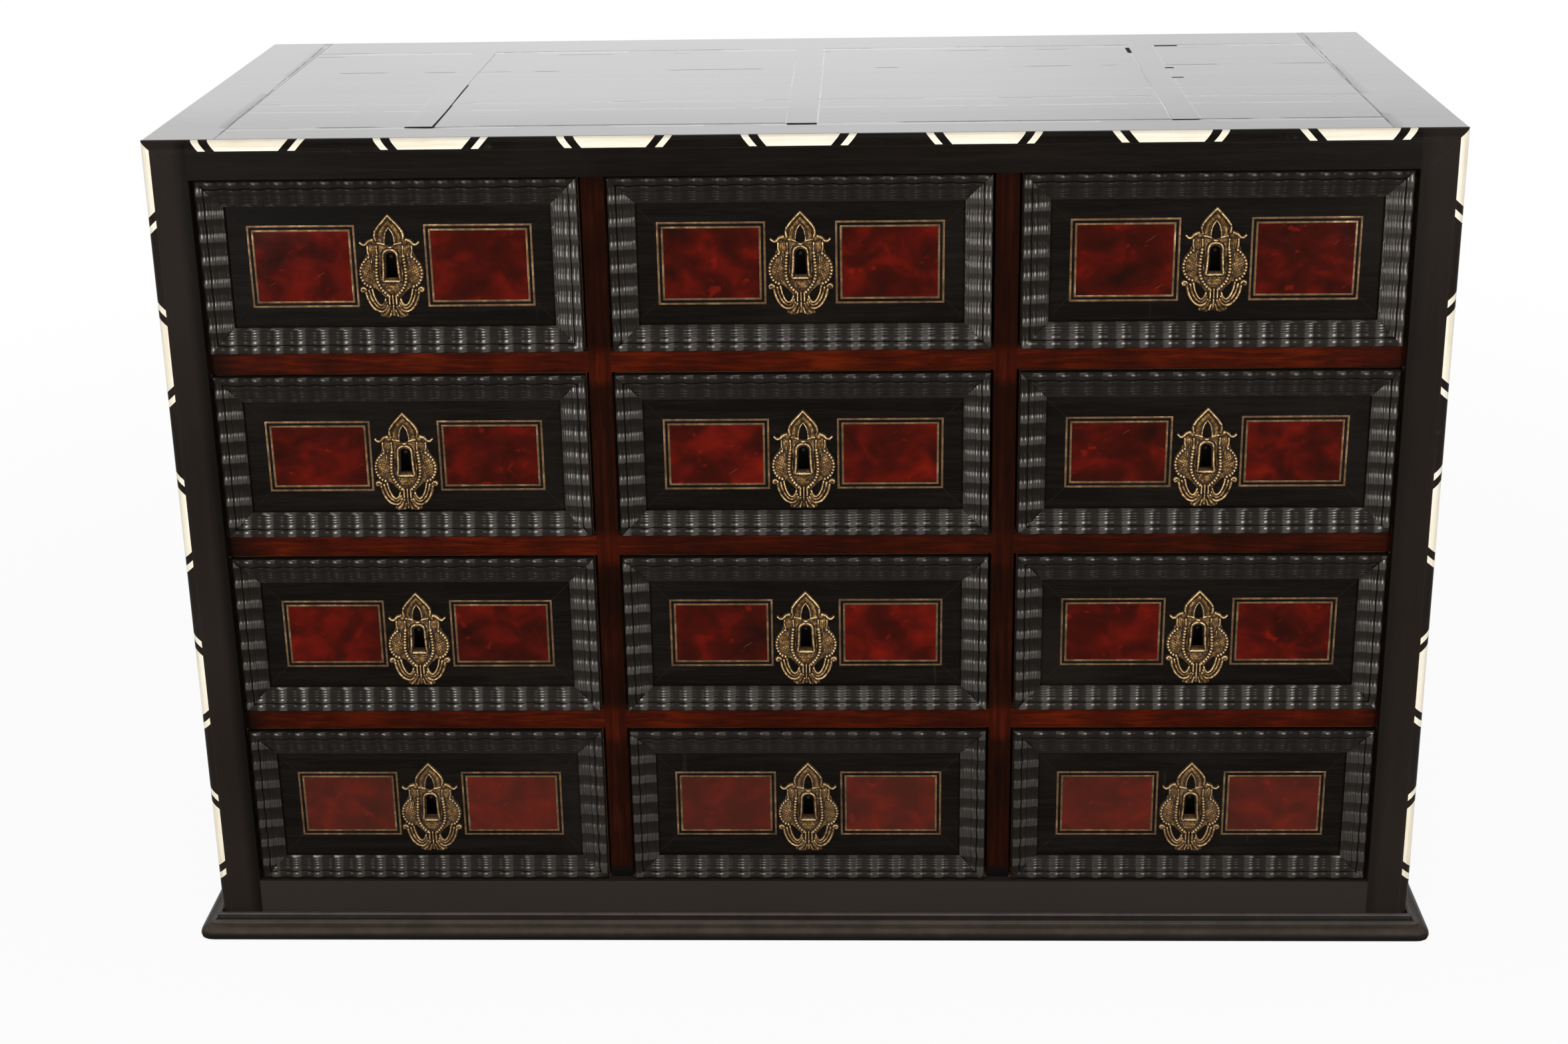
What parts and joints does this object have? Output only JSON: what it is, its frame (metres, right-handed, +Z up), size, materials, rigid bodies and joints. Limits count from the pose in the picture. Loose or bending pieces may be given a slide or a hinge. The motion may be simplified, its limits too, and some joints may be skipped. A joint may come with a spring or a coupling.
{
  "type": "vargueno table cabinet",
  "caption": "Low rectangular table cabinet with rows of small locking drawers, rippled drawer mouldings, red plaques, pierced brass keyhole plates and a moulded plinth.",
  "frame": {"origin": "middle of the footprint, on the surface that the cabinet stands on", "axes": "+Z up, drawers open towards -Y, +X to the right as seen from the front"},
  "size_m": [0.959, 0.439, 0.6305],
  "materials": {
    "ebony": "polished ebony veneer, near black",
    "ebonised_case": "ebonised and waxed boards",
    "case_wood": "plain unpolished softwood",
    "drawer_wood": "plain oiled wood",
    "red_veneer": "polished red-brown veneer",
    "bone": "polished cream bone",
    "tortoiseshell": "polished red and dark brown mottled shell",
    "brass": "aged cast brass",
    "iron": "filed wrought iron"
  },
  "bodies": {
    "carcase": {"carcase_left_side": "ebonised_case", "carcase_right_side": "ebonised_case", "carcase_top_board": "case_wood", "carcase_bottom_board": "case_wood", "carcase_back_board": "case_wood", "face_frame": "ebony", "column_dividers": "case_wood", "drawer_shelves": "case_wood", "divider_facings": "red_veneer", "plinth_moulding": "ebony", "bone_inlay": "bone", "top_veneer": "ebony"},
    "top_left_drawer": {"top_left_drawer_box": "drawer_wood", "top_left_drawer_front": "ebony", "top_left_drawer_lock": "brass"},
    "top_left_bolt": {"top_left_drawer_bolt": "iron"},
    "top_middle_drawer": {"top_middle_drawer_box": "drawer_wood", "top_middle_drawer_front": "ebony", "top_middle_drawer_lock": "brass"},
    "top_middle_bolt": {"top_middle_drawer_bolt": "iron"},
    "top_right_drawer": {"top_right_drawer_box": "drawer_wood", "top_right_drawer_front": "ebony", "top_right_drawer_lock": "brass"},
    "top_right_bolt": {"top_right_drawer_bolt": "iron"},
    "upper_left_drawer": {"upper_left_drawer_box": "drawer_wood", "upper_left_drawer_front": "ebony", "upper_left_drawer_lock": "brass"},
    "upper_left_bolt": {"upper_left_drawer_bolt": "iron"},
    "upper_middle_drawer": {"upper_middle_drawer_box": "drawer_wood", "upper_middle_drawer_front": "ebony", "upper_middle_drawer_lock": "brass"},
    "upper_middle_bolt": {"upper_middle_drawer_bolt": "iron"},
    "upper_right_drawer": {"upper_right_drawer_box": "drawer_wood", "upper_right_drawer_front": "ebony", "upper_right_drawer_lock": "brass"},
    "upper_right_bolt": {"upper_right_drawer_bolt": "iron"},
    "lower_left_drawer": {"lower_left_drawer_box": "drawer_wood", "lower_left_drawer_front": "ebony", "lower_left_drawer_lock": "brass"},
    "lower_left_bolt": {"lower_left_drawer_bolt": "iron"},
    "lower_middle_drawer": {"lower_middle_drawer_box": "drawer_wood", "lower_middle_drawer_front": "ebony", "lower_middle_drawer_lock": "brass"},
    "lower_middle_bolt": {"lower_middle_drawer_bolt": "iron"},
    "lower_right_drawer": {"lower_right_drawer_box": "drawer_wood", "lower_right_drawer_front": "ebony", "lower_right_drawer_lock": "brass"},
    "lower_right_bolt": {"lower_right_drawer_bolt": "iron"},
    "bottom_left_drawer": {"bottom_left_drawer_box": "drawer_wood", "bottom_left_drawer_front": "ebony", "bottom_left_drawer_lock": "brass"},
    "bottom_left_bolt": {"bottom_left_drawer_bolt": "iron"},
    "bottom_middle_drawer": {"bottom_middle_drawer_box": "drawer_wood", "bottom_middle_drawer_front": "ebony", "bottom_middle_drawer_lock": "brass"},
    "bottom_middle_bolt": {"bottom_middle_drawer_bolt": "iron"},
    "bottom_right_drawer": {"bottom_right_drawer_box": "drawer_wood", "bottom_right_drawer_front": "ebony", "bottom_right_drawer_lock": "brass"},
    "bottom_right_bolt": {"bottom_right_drawer_bolt": "iron"}
  },
  "joints": [
    {"name": "top_left_drawer_slide", "type": "slide", "parent": "carcase", "child": "top_left_drawer", "axis": [0, -1, 0], "range_m": [0, 0.3]},
    {"name": "top_left_bolt_throw", "type": "slide", "parent": "top_left_drawer", "child": "top_left_bolt", "axis": [0, 0, 1], "range_m": [0, 0.007]},
    {"name": "top_middle_drawer_slide", "type": "slide", "parent": "carcase", "child": "top_middle_drawer", "axis": [0, -1, 0], "range_m": [0, 0.3]},
    {"name": "top_middle_bolt_throw", "type": "slide", "parent": "top_middle_drawer", "child": "top_middle_bolt", "axis": [0, 0, 1], "range_m": [0, 0.007]},
    {"name": "top_right_drawer_slide", "type": "slide", "parent": "carcase", "child": "top_right_drawer", "axis": [0, -1, 0], "range_m": [0, 0.3]},
    {"name": "top_right_bolt_throw", "type": "slide", "parent": "top_right_drawer", "child": "top_right_bolt", "axis": [0, 0, 1], "range_m": [0, 0.007]},
    {"name": "upper_left_drawer_slide", "type": "slide", "parent": "carcase", "child": "upper_left_drawer", "axis": [0, -1, 0], "range_m": [0, 0.3]},
    {"name": "upper_left_bolt_throw", "type": "slide", "parent": "upper_left_drawer", "child": "upper_left_bolt", "axis": [0, 0, 1], "range_m": [0, 0.007]},
    {"name": "upper_middle_drawer_slide", "type": "slide", "parent": "carcase", "child": "upper_middle_drawer", "axis": [0, -1, 0], "range_m": [0, 0.3]},
    {"name": "upper_middle_bolt_throw", "type": "slide", "parent": "upper_middle_drawer", "child": "upper_middle_bolt", "axis": [0, 0, 1], "range_m": [0, 0.007]},
    {"name": "upper_right_drawer_slide", "type": "slide", "parent": "carcase", "child": "upper_right_drawer", "axis": [0, -1, 0], "range_m": [0, 0.3]},
    {"name": "upper_right_bolt_throw", "type": "slide", "parent": "upper_right_drawer", "child": "upper_right_bolt", "axis": [0, 0, 1], "range_m": [0, 0.007]},
    {"name": "lower_left_drawer_slide", "type": "slide", "parent": "carcase", "child": "lower_left_drawer", "axis": [0, -1, 0], "range_m": [0, 0.3]},
    {"name": "lower_left_bolt_throw", "type": "slide", "parent": "lower_left_drawer", "child": "lower_left_bolt", "axis": [0, 0, 1], "range_m": [0, 0.007]},
    {"name": "lower_middle_drawer_slide", "type": "slide", "parent": "carcase", "child": "lower_middle_drawer", "axis": [0, -1, 0], "range_m": [0, 0.3]},
    {"name": "lower_middle_bolt_throw", "type": "slide", "parent": "lower_middle_drawer", "child": "lower_middle_bolt", "axis": [0, 0, 1], "range_m": [0, 0.007]},
    {"name": "lower_right_drawer_slide", "type": "slide", "parent": "carcase", "child": "lower_right_drawer", "axis": [0, -1, 0], "range_m": [0, 0.3]},
    {"name": "lower_right_bolt_throw", "type": "slide", "parent": "lower_right_drawer", "child": "lower_right_bolt", "axis": [0, 0, 1], "range_m": [0, 0.007]},
    {"name": "bottom_left_drawer_slide", "type": "slide", "parent": "carcase", "child": "bottom_left_drawer", "axis": [0, -1, 0], "range_m": [0, 0.3]},
    {"name": "bottom_left_bolt_throw", "type": "slide", "parent": "bottom_left_drawer", "child": "bottom_left_bolt", "axis": [0, 0, 1], "range_m": [0, 0.007]},
    {"name": "bottom_middle_drawer_slide", "type": "slide", "parent": "carcase", "child": "bottom_middle_drawer", "axis": [0, -1, 0], "range_m": [0, 0.3]},
    {"name": "bottom_middle_bolt_throw", "type": "slide", "parent": "bottom_middle_drawer", "child": "bottom_middle_bolt", "axis": [0, 0, 1], "range_m": [0, 0.007]},
    {"name": "bottom_right_drawer_slide", "type": "slide", "parent": "carcase", "child": "bottom_right_drawer", "axis": [0, -1, 0], "range_m": [0, 0.3]},
    {"name": "bottom_right_bolt_throw", "type": "slide", "parent": "bottom_right_drawer", "child": "bottom_right_bolt", "axis": [0, 0, 1], "range_m": [0, 0.007]}
  ]
}
